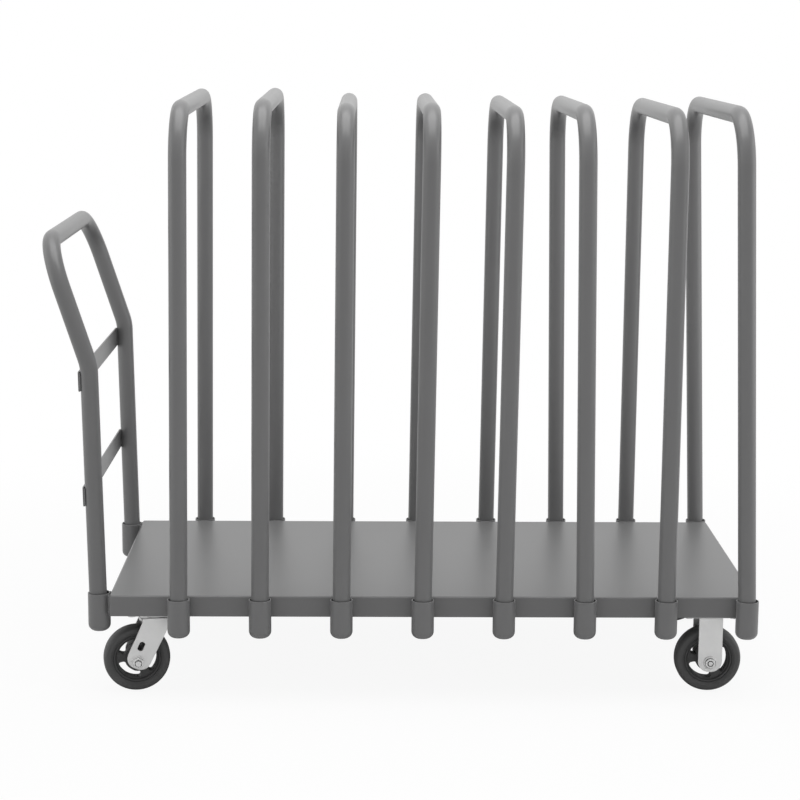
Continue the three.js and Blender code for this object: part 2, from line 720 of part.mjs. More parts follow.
function rigidFork() {
  const plate = slab(roundedBox(PLATE_LENGTH, PLATE_WIDTH, PLATE_CORNER), PLATE_THICKNESS, PLATE_BOTTOM);
  const body = solidOf(plate).add(bentFork(0, PLATE_BOTTOM + CUT_OVERRUN, LEG_ENDS.rigid));
  return cutBy(body, [axleHole(0), ...boltHoles(PLATE_BOTTOM, CASTER_TOP)]);
}

function addRigidCaster(side, sign) {
  const name = `rigid_${side}`;
  const group = new THREE.Group();
  group.position.set(RIGID_X, sign * CASTER_Y, 0);
  addPiece(group, `${name}_fork`, "zinc", rigidFork());
  addWheel(group, name, 0);
  cart.add(group);
}

for (const [side, sign] of Object.entries(sides)) {
  addSwivelCaster(side, sign);
  addRigidCaster(side, sign);
}

// The part's frame: the floor under the middle of the whole cart
cart.updateMatrixWorld(true);
const bounds = new THREE.Box3().setFromObject(cart, true);
const middle = bounds.getCenter(new THREE.Vector3());
cart.position.set(-middle.x, -middle.y, -bounds.min.z);

const part = new THREE.Group();
part.add(cart);
export default part;
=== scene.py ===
# %% [markdown]
# # A sheet goods cart
#
# The cart is a low steel deck on four casters. Eight tube hoops stand loose in cups that are welded along
# its two long edges, and part the deck into bays for boards stood on edge. A bent tube handle stands in two
# more cups at the end with the swivel casters. The frame that is loaded here holds every piece as a plain
# faceted solid, in its place and on the body that it moves with. The lesson gives each of them its real
# curves, edges and finish.

import json
from math import atan2, ceil, cos, pi, sin, tan

import bmesh
import bpy
from mathutils import Matrix, Vector


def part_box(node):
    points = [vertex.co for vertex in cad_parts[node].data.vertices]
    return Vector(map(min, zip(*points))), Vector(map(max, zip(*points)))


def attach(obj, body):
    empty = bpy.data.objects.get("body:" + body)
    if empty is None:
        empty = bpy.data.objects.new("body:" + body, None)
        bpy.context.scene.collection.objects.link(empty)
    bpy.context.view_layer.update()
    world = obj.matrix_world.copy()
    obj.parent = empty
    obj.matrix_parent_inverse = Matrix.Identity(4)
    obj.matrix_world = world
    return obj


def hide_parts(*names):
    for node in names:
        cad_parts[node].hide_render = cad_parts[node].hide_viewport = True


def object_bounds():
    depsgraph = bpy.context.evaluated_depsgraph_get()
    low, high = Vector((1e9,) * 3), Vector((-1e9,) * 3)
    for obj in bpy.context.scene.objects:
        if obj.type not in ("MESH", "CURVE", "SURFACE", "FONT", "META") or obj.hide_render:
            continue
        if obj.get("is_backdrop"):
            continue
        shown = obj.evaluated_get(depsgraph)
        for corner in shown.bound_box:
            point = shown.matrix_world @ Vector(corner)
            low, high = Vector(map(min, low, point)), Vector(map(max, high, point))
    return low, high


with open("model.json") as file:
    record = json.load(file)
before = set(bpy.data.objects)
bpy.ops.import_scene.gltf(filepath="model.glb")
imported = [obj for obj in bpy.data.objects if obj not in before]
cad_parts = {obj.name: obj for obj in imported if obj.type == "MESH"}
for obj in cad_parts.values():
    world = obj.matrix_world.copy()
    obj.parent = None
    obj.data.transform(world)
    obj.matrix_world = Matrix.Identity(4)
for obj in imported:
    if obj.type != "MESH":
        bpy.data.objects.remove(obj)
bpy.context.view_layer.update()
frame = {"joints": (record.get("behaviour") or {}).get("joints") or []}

# %% [markdown]
# ## Where things are
#
# A piece that repeats sizes by hand drifts away from the solid that it dresses. So the places come from the
# frame: the corners of a node's box, and the points and axes of the joints. Only what a box can't tell, such
# as a wall or a bend, is written down, in millimetres as a maker would, where it is first used.

# %% Places read from the frame
MM = 0.001
DEGREE = pi / 180
ALONG = Vector((1, 0, 0))
ACROSS = Vector((0, 1, 0))
UP = Vector((0, 0, 1))
# Two directions with a dot product over this point the same way
SQUARELY = 0.99
joints = {joint["name"]: joint for joint in frame["joints"]}
deck_low, deck_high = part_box("deck_pan")


def middle_of(node):
    low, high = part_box(node)
    return (low + high) / 2


def axis_of(joint):
    return Vector(joints[joint]["axis"])


print("deck:", [round(size, 4) for size in deck_high - deck_low], "top at", round(deck_high.z, 4))

# %% [markdown]
# ## The camera
#
# The picture was taken from well in front of the cart and a little above its hoops, with a long lens. A
# camera was fitted to the deck's corners, the cups and the hoop tops, so its place is given from the deck's
# near left corner. It is turned in three plain steps, because aiming it at a point would lose the slight
# roll.

# %% Camera
EYE_FROM_DECK_CORNER = Vector((0.48923, -3.87274, 1.07602))
SENSOR_WIDTH = 36
LENS_LENGTH = 95.70
TURN_RIGHT = 0.014297
TILT_DOWN = 0.178765
ROLL = 0.006742

lens = bpy.data.cameras.new("camera")
lens.sensor_width = SENSOR_WIDTH
lens.lens = LENS_LENGTH
camera = bpy.data.objects.new("camera", lens)
bpy.context.collection.objects.link(camera)
eye = Vector((deck_low.x, deck_low.y, deck_high.z)) + EYE_FROM_DECK_CORNER
aim = Matrix.Rotation(-TURN_RIGHT, 4, "Z") @ Matrix.Rotation(pi / 2 - TILT_DOWN, 4, "X")
camera.matrix_world = Matrix.Translation(eye) @ aim @ Matrix.Rotation(ROLL, 4, "Z")
bpy.context.scene.camera = camera
print("camera at", [round(value, 3) for value in eye])

# %% [markdown]
# ## Writing shaders as sums
#
# Node trees are quick to draw and slow to read in code. One small class wraps an output socket, so that a
# sum of two of them adds the Math node that does it, and one method adds any other node. A smooth step, which
# the floor and the enamel both need, is a function on top of it.

# %% A socket that can be added and multiplied


class Wire:
    def __init__(self, socket):
        self.socket = socket
        self.tree = socket.id_data

    def node(self, kind, settings=None, inputs=None, output=0):
        made = self.tree.nodes.new(kind)
        for name, value in (settings or {}).items():
            setattr(made, name, value)
        plug(made, inputs or {})
        return Wire(made.outputs[output])

    def maths(self, operation, first, second):
        return self.node("ShaderNodeMath", {"operation": operation}, {0: first, 1: second})

    def __add__(self, other):
        return self.maths("ADD", self, other)

    def __rsub__(self, other):
        return self.maths("SUBTRACT", other, self)

    def __mul__(self, other):
        return self.maths("MULTIPLY", self, other)

    __radd__ = __add__
    __rmul__ = __mul__


def plug(node, inputs):
    for name, value in inputs.items():
        if isinstance(value, Wire):
            node.id_data.links.new(value.socket, node.inputs[name])
        else:
            node.inputs[name].default_value = value


def smooth_step(value, start, end):
    """0 up to start, 1 from end on, and an even rise between them."""
    span = {"Value": value, "From Min": start, "From Max": end}
    return value.node("ShaderNodeMapRange", {"interpolation_type": "SMOOTHSTEP"}, span)


# %% [markdown]
# ## A white studio
#
# The cart stands on white, with hardly a shadow. The lamps light it at a plain level, so the white has to
# come from elsewhere: what looks straight at the world or the floor, or sees them in a reflection, sees
# white, while the light that they give stays modest. Near the cart the floor's own shading shows: faintly to
# the camera, which leaves a soft shadow, and fully in the metal of the casters, which would be too bright
# without it.

# %% World and floor
AMBIENT = 0.397
FLOOR_SHADE_KEPT = 0.08
FLOOR_SHADE_FADES = (1.0, 2.2)
FLOOR_SIZE = 200
FLOOR_PAINT = (0.9, 0.9, 0.9, 1)
WHITE = (1, 1, 1, 1)


def looks(tree):
    """Whether the camera looks straight here, and whether something shiny or clear does."""
    rays = tree.nodes.new("ShaderNodeLightPath")
    kinds = ("Camera", "Glossy", "Transmission")
    straight, glossy, clear = (Wire(rays.outputs[f"Is {kind} Ray"]) for kind in kinds)
    return straight, glossy.maths("MAXIMUM", glossy, clear)


world = bpy.data.worlds.new("studio")
world.use_nodes = True
bpy.context.scene.world = world
straight, mirrored = looks(world.node_tree)
brightness = AMBIENT + (straight + mirrored) * (1 - AMBIENT)
plug(world.node_tree.nodes["Background"], {"Color": WHITE, "Strength": brightness})

white = bpy.data.materials.new("studio_white")
white.use_nodes = True
tree = white.node_tree
tree.nodes.remove(tree.nodes["Principled BSDF"])
straight, mirrored = looks(tree)
place = Wire(tree.nodes.new("ShaderNodeTexCoord").outputs["Object"])
matt = place.node("ShaderNodeBsdfDiffuse", inputs={"Color": FLOOR_PAINT})
glow = place.node("ShaderNodeEmission", inputs={"Color": WHITE, "Strength": 1.0})
distance = place.node("ShaderNodeVectorMath", {"operation": "LENGTH"}, {0: place}, output="Value")
near = 1.0 - smooth_step(distance, *FLOOR_SHADE_FADES)
share = straight * (1.0 - FLOOR_SHADE_KEPT * near) + mirrored * (1.0 - near)
mixed = place.node("ShaderNodeMixShader", inputs={0: share, 1: matt, 2: glow})
plug(tree.nodes["Material Output"], {"Surface": mixed})

bm = bmesh.new()
bmesh.ops.create_grid(bm, x_segments=1, y_segments=1, size=FLOOR_SIZE / 2)
floor_mesh = bpy.data.meshes.new("floor")
bm.to_mesh(floor_mesh)
bm.free()
floor_mesh.materials.append(white)
floor = bpy.data.objects.new("floor", floor_mesh)
bpy.context.collection.objects.link(floor)
floor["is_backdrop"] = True
print("studio: ambient", AMBIENT)

# %% [markdown]
# The tops of the hoops are much lighter than the deck, and the deck than the upright faces, so most of the
# light comes from a wide softbox not far overhead. The tubes are a little lighter down their sides than
# down their middle, so the rest comes from two weaker softboxes at the sides.

# %% Softboxes
# Each has its place, the point that it faces, its width and height, and its watts.
SOFTBOXES = {
    "overhead": ((0.0, -0.3, 3.0), (0, 0, 0), (2.8, 2.2), 58),
    "left": ((-3.6, -0.4, 1.1), (0, 0, 0.6), (3.0, 3.0), 24),
    "right": ((3.6, -0.4, 1.1), (0, 0, 0.6), (3.0, 3.0), 40),
}


def softbox(name, place, target, size, watts):
    lamp = bpy.data.lights.new(name, "AREA")
    lamp.shape = "RECTANGLE"
    lamp.size, lamp.size_y = size
    lamp.energy = watts
    light = bpy.data.objects.new(name, lamp)
    light.location = place
    light.rotation_euler = (Vector(target) - Vector(place)).to_track_quat("-Z", "Y").to_euler()
    bpy.context.collection.objects.link(light)


for name, settings in SOFTBOXES.items():
    softbox(name, *settings)
bpy.context.scene.view_settings.view_transform = "Standard"
print("softboxes:", ", ".join(SOFTBOXES))

# %% [markdown]
# ## Finishes
#
# Every pattern reads Object coordinates. The pieces all sit at the origin with their place in the mesh, so
# those are metres in the cart's own frame and a grain has its true size on every piece.

# %% Starting a finish


def start_finish(name):
    material = bpy.data.materials.new(name)
    material.use_nodes = True
    nodes = material.node_tree.nodes
    place = Wire(nodes.new("ShaderNodeTexCoord").outputs["Object"])
    return material, nodes["Principled BSDF"], place


def noise(place, scale, detail=2.0, roughness=0.5):
    inputs = {"Vector": place, "Scale": scale, "Detail": detail, "Roughness": roughness}
    return place.node("ShaderNodeTexNoise", inputs=inputs)


def between(low, high, amount):
    """A grey or colour between two, as far as amount goes from 0 to 1."""
    colours = {0: amount, 6: (*low, 1), 7: (*high, 1)}
    return amount.node("ShaderNodeMix", {"data_type": "RGBA"}, colours, output=2)


def bump(height, depth):
    return height.node("ShaderNodeBump", inputs={"Strength": 1.0, "Distance": depth, "Height": height})


def stretched(place, x, y, z):
    return place.node("ShaderNodeMapping", inputs={"Vector": place, "Scale": (x, y, z)})


# %% [markdown]
# Nearly everything is sprayed with one grey enamel. It is satin: the deck shows long soft streaks of the
# tubes behind it. Close to, sprayed paint has a fine orange peel about two millimetres across, and its
# tone drifts a little over a hand's breadth. What faces straight up is painted a little lighter, as painted
# light from overhead, and is made a little duller, so the height of the surface's normal stirs both.

# %% Grey enamel
GREY_DARK = (0.150, 0.150, 0.151)
# Painted top light: the lighter grey that what faces up is painted with, for the light from overhead
GREY_PAINTED_TOP_LIGHT = (0.194, 0.194, 0.195)
FACING_UP_FROM = 0.9
PEEL_DEPTH = 0.02 * MM

grey_enamel, shader, place = start_finish("grey_enamel")
drift = noise(place, scale=7, detail=4)
dust = noise(place, scale=160, detail=3, roughness=0.7)
peel = noise(place, scale=430, detail=1.5)
facing = Wire(place.tree.nodes.new("ShaderNodeTexCoord").outputs["Normal"])
upward = facing.node("ShaderNodeSeparateXYZ", inputs={"Vector": facing}, output="Z")
# Painted top light: a mask of what faces up, which paints it lighter and makes it a little rougher
painted_top_light_and_dulling = smooth_step(upward, FACING_UP_FROM, 1.0)
tone_and_painted_top_light = 0.42 * drift + 0.08 * dust + 0.45 * painted_top_light_and_dulling
plug(
    shader,
    {
        "Base Color": between(GREY_DARK, GREY_PAINTED_TOP_LIGHT, tone_and_painted_top_light),
        "Roughness": 0.29 + 0.05 * drift + 0.02 * dust + 0.05 * painted_top_light_and_dulling,
        "Normal": bump(peel, PEEL_DEPTH),
        "Specular IOR Level": 0.45,
    },
)
print("finish:", grey_enamel.name)

# %% [markdown]
# The forks and plates of the casters are zinc plated. New plating is a pale metal, cloudy rather than
# brushed, with a faint crystal pattern of a few millimetres, so a cell pattern stirs its roughness.

# %% Zinc plate
ZINC_DULL = (0.59, 0.59, 0.59)
ZINC_BRIGHT = (0.71, 0.71, 0.705)
GRIT_DEPTH = 0.02 * MM

zinc_plate, shader, place = start_finish("zinc_plate")
cloud = noise(place, scale=45, detail=4)
crystal = place.node("ShaderNodeTexVoronoi", {"feature": "F1"}, {"Vector": place, "Scale": 320})
grit = noise(place, scale=900, detail=2)
plug(
    shader,
    {
        "Base Color": between(ZINC_DULL, ZINC_BRIGHT, cloud),
        "Metallic": 0.85,
        "Roughness": 0.32 + 0.10 * cloud + 0.06 * crystal,
        "Normal": bump(grit, GRIT_DEPTH),
    },
)
print("finish:", zinc_plate.name)

# %% [markdown]
# Bare steel is on the bearing sleeves and the balls. A turned sleeve keeps fine rings from the tool, so the
# grain is six times as fine along the axles as across them.

# %% Bare steel
STEEL_DARK = (0.42, 0.42, 0.42)
STEEL_BRIGHT = (0.56, 0.56, 0.55)
RING_DEPTH = 0.01 * MM

bare_steel, shader, place = start_finish("bare_steel")
grain = noise(stretched(place, 1, 6, 1), scale=500, detail=3)
plug(
    shader,
    {
        "Base Color": between(STEEL_DARK, STEEL_BRIGHT, grain),
        "Metallic": 1.0,
        "Roughness": 0.24 + 0.14 * grain,
        "Normal": bump(grain, RING_DEPTH),
    },
)
print("finish:", bare_steel.name)

# %% [markdown]
# The wheel cores are iron castings under black paint: sand from the mould leaves a skin of bumps about a
# millimetre across, and the paint is thinner and duller on their tops.

# %% Cast core
CORE_BLACK = (0.040, 0.040, 0.040)
CORE_DULL = (0.080, 0.080, 0.080)
SAND_DEPTH = 0.18 * MM

cast_core, shader, place = start_finish("cast_core")
sand = noise(place, scale=700, detail=3, roughness=0.6)
patch = noise(place, scale=60, detail=3)
plug(
    shader,
    {
        "Base Color": between(CORE_BLACK, CORE_DULL, 0.6 * sand + 0.4 * patch),
        "Roughness": 0.55 + 0.2 * patch,
        "Normal": bump(sand, SAND_DEPTH),
    },
)
print("finish:", cast_core.name)

# %% [markdown]
# The tyres are moulded rubber, dark grey and matt, with a bloom that makes them a little paler in patches.

# %% Tyre rubber
RUBBER_DARK = (0.060, 0.060, 0.060)
RUBBER_PALE = (0.108, 0.108, 0.108)
PORE_DEPTH = 0.03 * MM

tyre_rubber, shader, place = start_finish("tyre_rubber")
bloom = noise(place, scale=38, detail=5, roughness=0.6)
mottle = noise(place, scale=260, detail=3, roughness=0.7)
pore = noise(place, scale=1500, detail=2)
plug(
    shader,
    {
        "Base Color": between(RUBBER_DARK, RUBBER_PALE, 0.5 * bloom + 0.5 * mottle),
        "Roughness": 0.56 + 0.16 * bloom,
        "Normal": bump(pore, PORE_DEPTH),
        "Specular IOR Level": 0.4,
    },
)
print("finish:", tyre_rubber.name)

# %% [markdown]
# A piece names its finish, so the five are kept under plain keys. A material's own name won't do, because
# the frame has materials too, and Blender numbers a second one of the same name.

# %% The finishes by name
FINISHES = {
    "grey_enamel": grey_enamel,
    "zinc_plate": zinc_plate,
    "bare_steel": bare_steel,
    "cast_core": cast_core,
    "tyre_rubber": tyre_rubber,
}
print("finishes:", ", ".join(FINISHES))

# %% [markdown]
# ## Handing in a piece
#
# Each piece is modelled as a bmesh and handed in the same way: smooth shading that breaks at sharp edges,
# normals weighted by face area so that flats stay flat beside their rounded edges, and its body, its finish
# and the solids that it stands for.

# %% Handing in a piece
SMOOTH_UP_TO = 38 * DEGREE


def hand_in(bm, name, body, slot, *nodes):
    for face in bm.faces:
        face.smooth = True
    for edge in bm.edges:
        edge.smooth = edge.is_manifold and edge.calc_face_angle() < SMOOTH_UP_TO
    mesh = bpy.data.meshes.new(name)
    bm.to_mesh(mesh)
    bm.free()
    mesh.materials.append(FINISHES[slot])
    piece = bpy.data.objects.new(name, mesh)
    bpy.context.collection.objects.link(piece)
    piece.modifiers.new("even_normals", "WEIGHTED_NORMAL").keep_sharp = True
    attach(piece, body)
    if nodes:
        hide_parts(*nodes)
    return piece


def joined(*parts):
    whole = bmesh.new()
    for part in parts:
        mesh = bpy.data.meshes.new("part")
        part.to_mesh(mesh)
        part.free()
        whole.from_mesh(mesh)
        bpy.data.meshes.remove(mesh)
    return whole


def placed(bm, matrix):
    bmesh.ops.transform(bm, matrix=matrix, verts=bm.verts)
    return bm


def rounded(bm, kind, geom, radius, segments):
    settings = {"affect": kind, "segments": segments, "profile": 0.5, "material": -1}
    bmesh.ops.bevel(bm, geom=geom, offset=radius, **settings)


def round_edges(bm, edges, radius, segments=3):
    rounded(bm, "EDGES", edges, radius, segments)


def round_corners(bm, verts, radius, segments):
    rounded(bm, "VERTICES", verts, radius, segments)


def sharp_edges(bm, least=60 * DEGREE):
    return [edge for edge in bm.edges if edge.is_manifold and edge.calc_face_angle() > least]


# %% [markdown]
# ## The deck
#
# The deck is one sheet with its four edges folded down on a press, so its top edges are soft and its corners
# are welded and ground round. A cube without its bottom is the same surface: bevelled along its folds, then
# given the sheet's thickness inwards.

# %% Deck pan
SHEET = 2.7 * MM
FOLD_RADIUS = 4 * MM


def folded_box(low, high, open_ways, fold, wall):
    bm = bmesh.new()
    size = Matrix.Diagonal((*(high - low), 1))
    bmesh.ops.create_cube(bm, size=1, matrix=Matrix.Translation((low + high) / 2) @ size)
    bm.normal_update()
    gone = [face for face in bm.faces if any(face.normal.dot(way) > SQUARELY for way in open_ways)]
    bmesh.ops.delete(bm, geom=gone, context="FACES")
    round_edges(bm, [edge for edge in bm.edges if edge.is_manifold], fold, segments=5)
    bmesh.ops.solidify(bm, geom=bm.faces[:], thickness=wall)
    return bm


pan = folded_box(deck_low, deck_high, [-UP], FOLD_RADIUS, SHEET)
pan = hand_in(pan, "pan", "frame", "grey_enamel", "deck_pan")
print("pan:", len(pan.data.polygons), "faces")

# %% [markdown]
# Out of sight, a channel across each end carries two casters, and a lighter one stiffens the middle. They
# are folded too, open at the top and at the ends.

# %% Channels under the deck
CASTER_CHANNEL_WALL = 4.8
STIFFENER_WALL = 2.7
INSIDE_FOLD = 2

channels = {
    "caster_channel_left": (ACROSS, CASTER_CHANNEL_WALL),
    "caster_channel_right": (ACROSS, CASTER_CHANNEL_WALL),
    "centre_stiffener": (ALONG, STIFFENER_WALL),
}
for node, (run, wall) in channels.items():
    low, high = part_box(node)
    channel = folded_box(low, high, [UP, run, -run], (wall + INSIDE_FOLD) * MM, wall * MM)
    hand_in(channel, node + "_folded", "frame", "grey_enamel", node)
print("channels:", ", ".join(channels))

# %% [markdown]
# ## The cups
#
# Each cup is a short piece of tube with its lower end spun round and closed. It starts as a cylinder: the
# bottom edge is rounded wide, the top face is inset to the wall and pushed down to make the bore, and the
# rim is just broken.

# %% Cups
CUP_RADIUS = 21.1 * MM
CUP_WALL = 2.1 * MM
CUP_FLOOR = 9 * MM
CUP_ROUNDING = 13 * MM
RIM_ROUNDING = 1.0 * MM
CUP_SIDES = 64


def cup(node):
    low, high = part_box(node)
    height = high.z - low.z
    bm = bmesh.new()
    sizes = {"radius1": CUP_RADIUS, "radius2": CUP_RADIUS, "depth": height}
    centre = Matrix.Translation((low + high) / 2)
    bmesh.ops.create_cone(bm, cap_ends=True, cap_tris=False, segments=CUP_SIDES, matrix=centre, **sizes)
    bm.normal_update()
    mouth = [face for face in bm.faces if face.normal.z > SQUARELY]
    base = [edge for face in bm.faces if face.normal.z < -SQUARELY for edge in face.edges]
    round_edges(bm, base, CUP_ROUNDING, segments=8)
    bmesh.ops.inset_region(bm, faces=mouth, thickness=CUP_WALL)
    bore = bmesh.ops.extrude_discrete_faces(bm, faces=mouth)["faces"]
    bmesh.ops.translate(bm, vec=-UP * (height - CUP_FLOOR), verts=bore[0].verts)
    rims = [edge for edge in sharp_edges(bm) if min(vert.co.z for vert in edge.verts) > high.z - MM]
    round_edges(bm, rims, RIM_ROUNDING)
    return bm


sides = ("front", "back")
numbers = range(1, 9)
cup_nodes = [f"pocket_{side}_{number}" for side in sides for number in numbers]
cup_nodes += [f"handle_pocket_{side}" for side in sides]
for node in cup_nodes:
    hand_in(cup(node), node.replace("pocket", "cup"), "frame", "grey_enamel", node)
print("cups:", len(cup_nodes))

# %% [markdown]
# A cup is welded to the fold where its round side leaves the flat, with a bead up each side. The cups of the
# handle carry more and have fat beads. A bead is laid down as a row of overlapping drops, so that is how it
# is made.

# %% Weld beads
FINE_WELD = 1.7 * MM
FAT_WELD = 3.2 * MM
WELD_ENDS = 2.5 * MM
# In radii of the bead
DROP_SPACING = 1.8
DROP_STRETCH = 1.25
CREVICE_WIDTH = 1.3
BEAD_OFF_FLANGE = 0.4


def weld_bead(start, end, radius):
    bm = bmesh.new()
    run = end - start
    drops = ceil(run.length / (DROP_SPACING * radius))
    turn = UP.rotation_difference(run).to_matrix().to_4x4()
    stretch = Matrix.Diagonal((1, 1, DROP_STRETCH, 1))
    for number in range(drops):
        place = Matrix.Translation(start + run * (number + 0.5) / drops) @ turn
        shape = {"u_segments": 12, "v_segments": 7, "radius": radius}
        bmesh.ops.create_uvsphere(bm, matrix=place @ stretch, **shape)
    return bm


def crevice(round_radius, weld):
    """How far beside the line of touch a bead fits between a round bar and a flat."""
    return (round_radius**2 - (round_radius - CREVICE_WIDTH * weld) ** 2) ** 0.5


beads = []
for node in cup_nodes:
    centre = middle_of(node)
    at_end = node.startswith("handle")
    weld = FAT_WELD if at_end else FINE_WELD
    to_flat = ALONG if at_end else -ACROSS * (1 if centre.y > 0 else -1)
    beside = (ACROSS if at_end else ALONG) * crevice(CUP_RADIUS, weld)
    for way in (-1, 1):
        line = centre + to_flat * (CUP_RADIUS - BEAD_OFF_FLANGE * weld) + beside * way
        low = Vector((line.x, line.y, deck_low.z + WELD_ENDS))
        high = Vector((line.x, line.y, deck_high.z - WELD_ENDS))
        beads.append(weld_bead(low, high, weld))
print("weld beads on cups:", len(beads))
hand_in(joined(*beads), "cup_welds", "frame", "grey_enamel")

# %% [markdown]
# ## Hoops
#
# A hoop is one length of pipe, bent twice on the same die. The bmesh goes the same way as the bender: a ring
# is drawn out straight, spun round the die's centre at each bend, and drawn out again. The wall comes last,
# inwards. A bevelled curve would be shorter to write, but its bends would only come near the die's radius.

# %% Bending a pipe
PIPE_RADIUS = 16.7 * MM
PIPE_WALL = 3.4 * MM
PIPE_SIDES = 48
DIE_RADIUS = 88.9 * MM
STEPS_IN_QUARTER = 20
LEAST_STEPS = 4


def drawn_out(bm, ring, way):
    moved = bmesh.ops.extrude_edge_only(bm, edges=ring)["geom"]
    bmesh.ops.translate(bm, vec=way, verts=[item for item in moved if isinstance(item, bmesh.types.BMVert)])
    return [item for item in moved if isinstance(item, bmesh.types.BMEdge)]


def bent_pipe(corners):
    bm = bmesh.new()
    here = corners[0]
    heading = (corners[1] - here).normalized()
    face_on = Matrix.Translation(here) @ UP.rotation_difference(heading).to_matrix().to_4x4()
    bmesh.ops.create_circle(bm, segments=PIPE_SIDES, radius=PIPE_RADIUS, matrix=face_on)
    ring = bm.edges[:]
    for corner, after in zip(corners[1:-1], corners[2:]):
        leaving = (after - corner).normalized()
        turn = heading.angle(leaving)
        axis = heading.cross(leaving).normalized()
        set_back = DIE_RADIUS * tan(turn / 2)
        start = corner - heading * set_back
        ring = drawn_out(bm, ring, start - here)
        die = start + axis.cross(heading) * DIE_RADIUS
        steps = max(LEAST_STEPS, round(STEPS_IN_QUARTER * turn / (pi / 2)))
        bend = {"cent": die, "axis": axis, "angle": turn, "steps": steps}
        last = bmesh.ops.spin(bm, geom=ring, **bend)["geom_last"]
        ring = [item for item in last if isinstance(item, bmesh.types.BMEdge)]
        here = corner + leaving * set_back
        heading = leaving
    drawn_out(bm, ring, corners[-1] - here)
    bmesh.ops.recalc_face_normals(bm, faces=bm.faces)
    bmesh.ops.solidify(bm, geom=bm.faces[:], thickness=PIPE_WALL)
    return bm


# %% [markdown]
# The cups are loose, so each hoop leans its own way. The lean is the direction that the hoop lifts out in,
# which its joint knows, and it turns about the middle of the cup. The benders weren't exact either: some of
# the bars fall a few millimetres towards the front, or towards the back where the number is negative.

# %% Hoops
BAR_FALLS = (5.6, 3.9, 0.8, -0.8, 0.8, -3.2, -1.6, -1.6)


def standing_frame(node, cup_node, joint):
    """A frame with its z up a leaning pipe, and the heights of the pipe's foot and top in it."""
    low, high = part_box(node)
    axis = axis_of(joint)
    lean = atan2(axis.x, axis.z)
    base = Vector((middle_of(cup_node).x, 0, (low.z + deck_high.z) / 2))
    place = Matrix.Translation(base) @ Matrix.Rotation(lean, 4, "Y")
    foot = (low.z - base.z + PIPE_RADIUS * abs(sin(lean))) / cos(lean)
    return place, foot, high.z - base.z


for number, fall in zip(numbers, BAR_FALLS):
    node = f"divider_{number}"
    place, foot, top = standing_frame(node, f"pocket_front_{number}", f"{node}_lift")
    half = middle_of(f"pocket_back_{number}").y
    front = top - PIPE_RADIUS - max(fall, 0) * MM
    back = top - PIPE_RADIUS - max(-fall, 0) * MM
    corners = [Vector((0, y, z)) for y, z in ((-half, foot), (-half, front), (half, back), (half, foot))]
    hand_in(placed(bent_pipe(corners), place), f"hoop_{number}", node, "grey_enamel", node)
print("hoops:", len(numbers))

# %% [markdown]
# ## Handle
#
# The handle is bent from the same pipe: two legs that kink outwards over the deck's end, and a grip bar. It
# stands a little turned in its loose cups. Two flat straps brace the legs on their outer side. The outward
# reach follows from the kink's angle.

# %% Handle
KINK_ABOVE_DECK = 434.3 * MM
KINK = 17 * DEGREE
GRIP_UNDER_TOP = 0.8 * MM
HANDLE_TURN = Matrix.Rotation(-0.25 * DEGREE, 4, "Z")

place, foot, top = standing_frame("handle_tube", "handle_pocket_front", "handle_lift")
place = place @ HANDLE_TURN
half = middle_of("handle_pocket_back").y
kink = deck_high.z + KINK_ABOVE_DECK - place.translation.z
grip = top - PIPE_RADIUS - GRIP_UNDER_TOP
out = -(grip - kink) * tan(KINK)
legs = [(0, foot), (0, kink), (out, grip)]
corners = [Vector((x, -half, z)) for x, z in legs] + [Vector((x, half, z)) for x, z in reversed(legs)]
hand_in(placed(bent_pipe(corners), place), "handle", "handle", "grey_enamel", "handle_tube")
print("handle: grip", round(place.translation.z + grip, 3), "m up")

# %% [markdown]
# A strap is a length of flat bar with its corners ground off. A cube has the right edges to round: the four
# short ones through its thickness first, then a fine break on all that are still sharp.

# %% Straps
STRAP_THICKNESS = 3.2 * MM
STRAP_HEIGHT = 38 * MM
STRAP_CORNER = 4 * MM
EDGE_BREAK = 0.6 * MM
# In radii of the bead
BEAD_OFF_STRAP = 0.5


def flat_bar(size, corner, through):
    bm = bmesh.new()
    bmesh.ops.create_cube(bm, size=1, matrix=Matrix.Diagonal((*size, 1)))
    corners = []
    for edge in bm.edges:
        way = (edge.verts[1].co - edge.verts[0].co).normalized()
        if abs(way.dot(through)) > SQUARELY:
            corners.append(edge)
    round_edges(bm, corners, corner, segments=6)
    round_edges(bm, sharp_edges(bm), EDGE_BREAK, segments=2)
    return bm


beads = []
upright = place.to_3x3().to_4x4()
out = STRAP_THICKNESS / 2 + BEAD_OFF_STRAP * FINE_WELD
up = STRAP_HEIGHT / 2 - WELD_ENDS
for which in ("lower", "upper"):
    node = f"handle_strap_{which}"
    low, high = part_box(node)
    place = Matrix.Translation((low + high) / 2) @ upright
    size = (STRAP_THICKNESS, high.y - low.y, STRAP_HEIGHT)
    strap = placed(flat_bar(size, STRAP_CORNER, ALONG), place)
    hand_in(strap, f"strap_{which}", "handle", "grey_enamel", node)
    for leg in (-half, half):
        for way in (-1, 1):
            beside = leg + way * crevice(PIPE_RADIUS, FINE_WELD)
            start, end = (place @ Vector((out, beside, z)) for z in (-up, up))
            beads.append(weld_bead(start, end, FINE_WELD))
hand_in(joined(*beads), "strap_welds", "handle", "grey_enamel")
print("straps: 2, with", len(beads), "weld beads")

# %% [markdown]
# ## Wheels
#
# All four wheels are the same: a cast core with three windows, a solid tyre round it and a sleeve to run on.
# They are made about the Y axis at the origin and then set on their axles, whose place and direction the
# spin joints give. Turned shapes start as a few points of half their section and are spun once round.

# %% Turning
TURN_STEPS = 96
MERGE_DISTANCE = 0.001 * MM


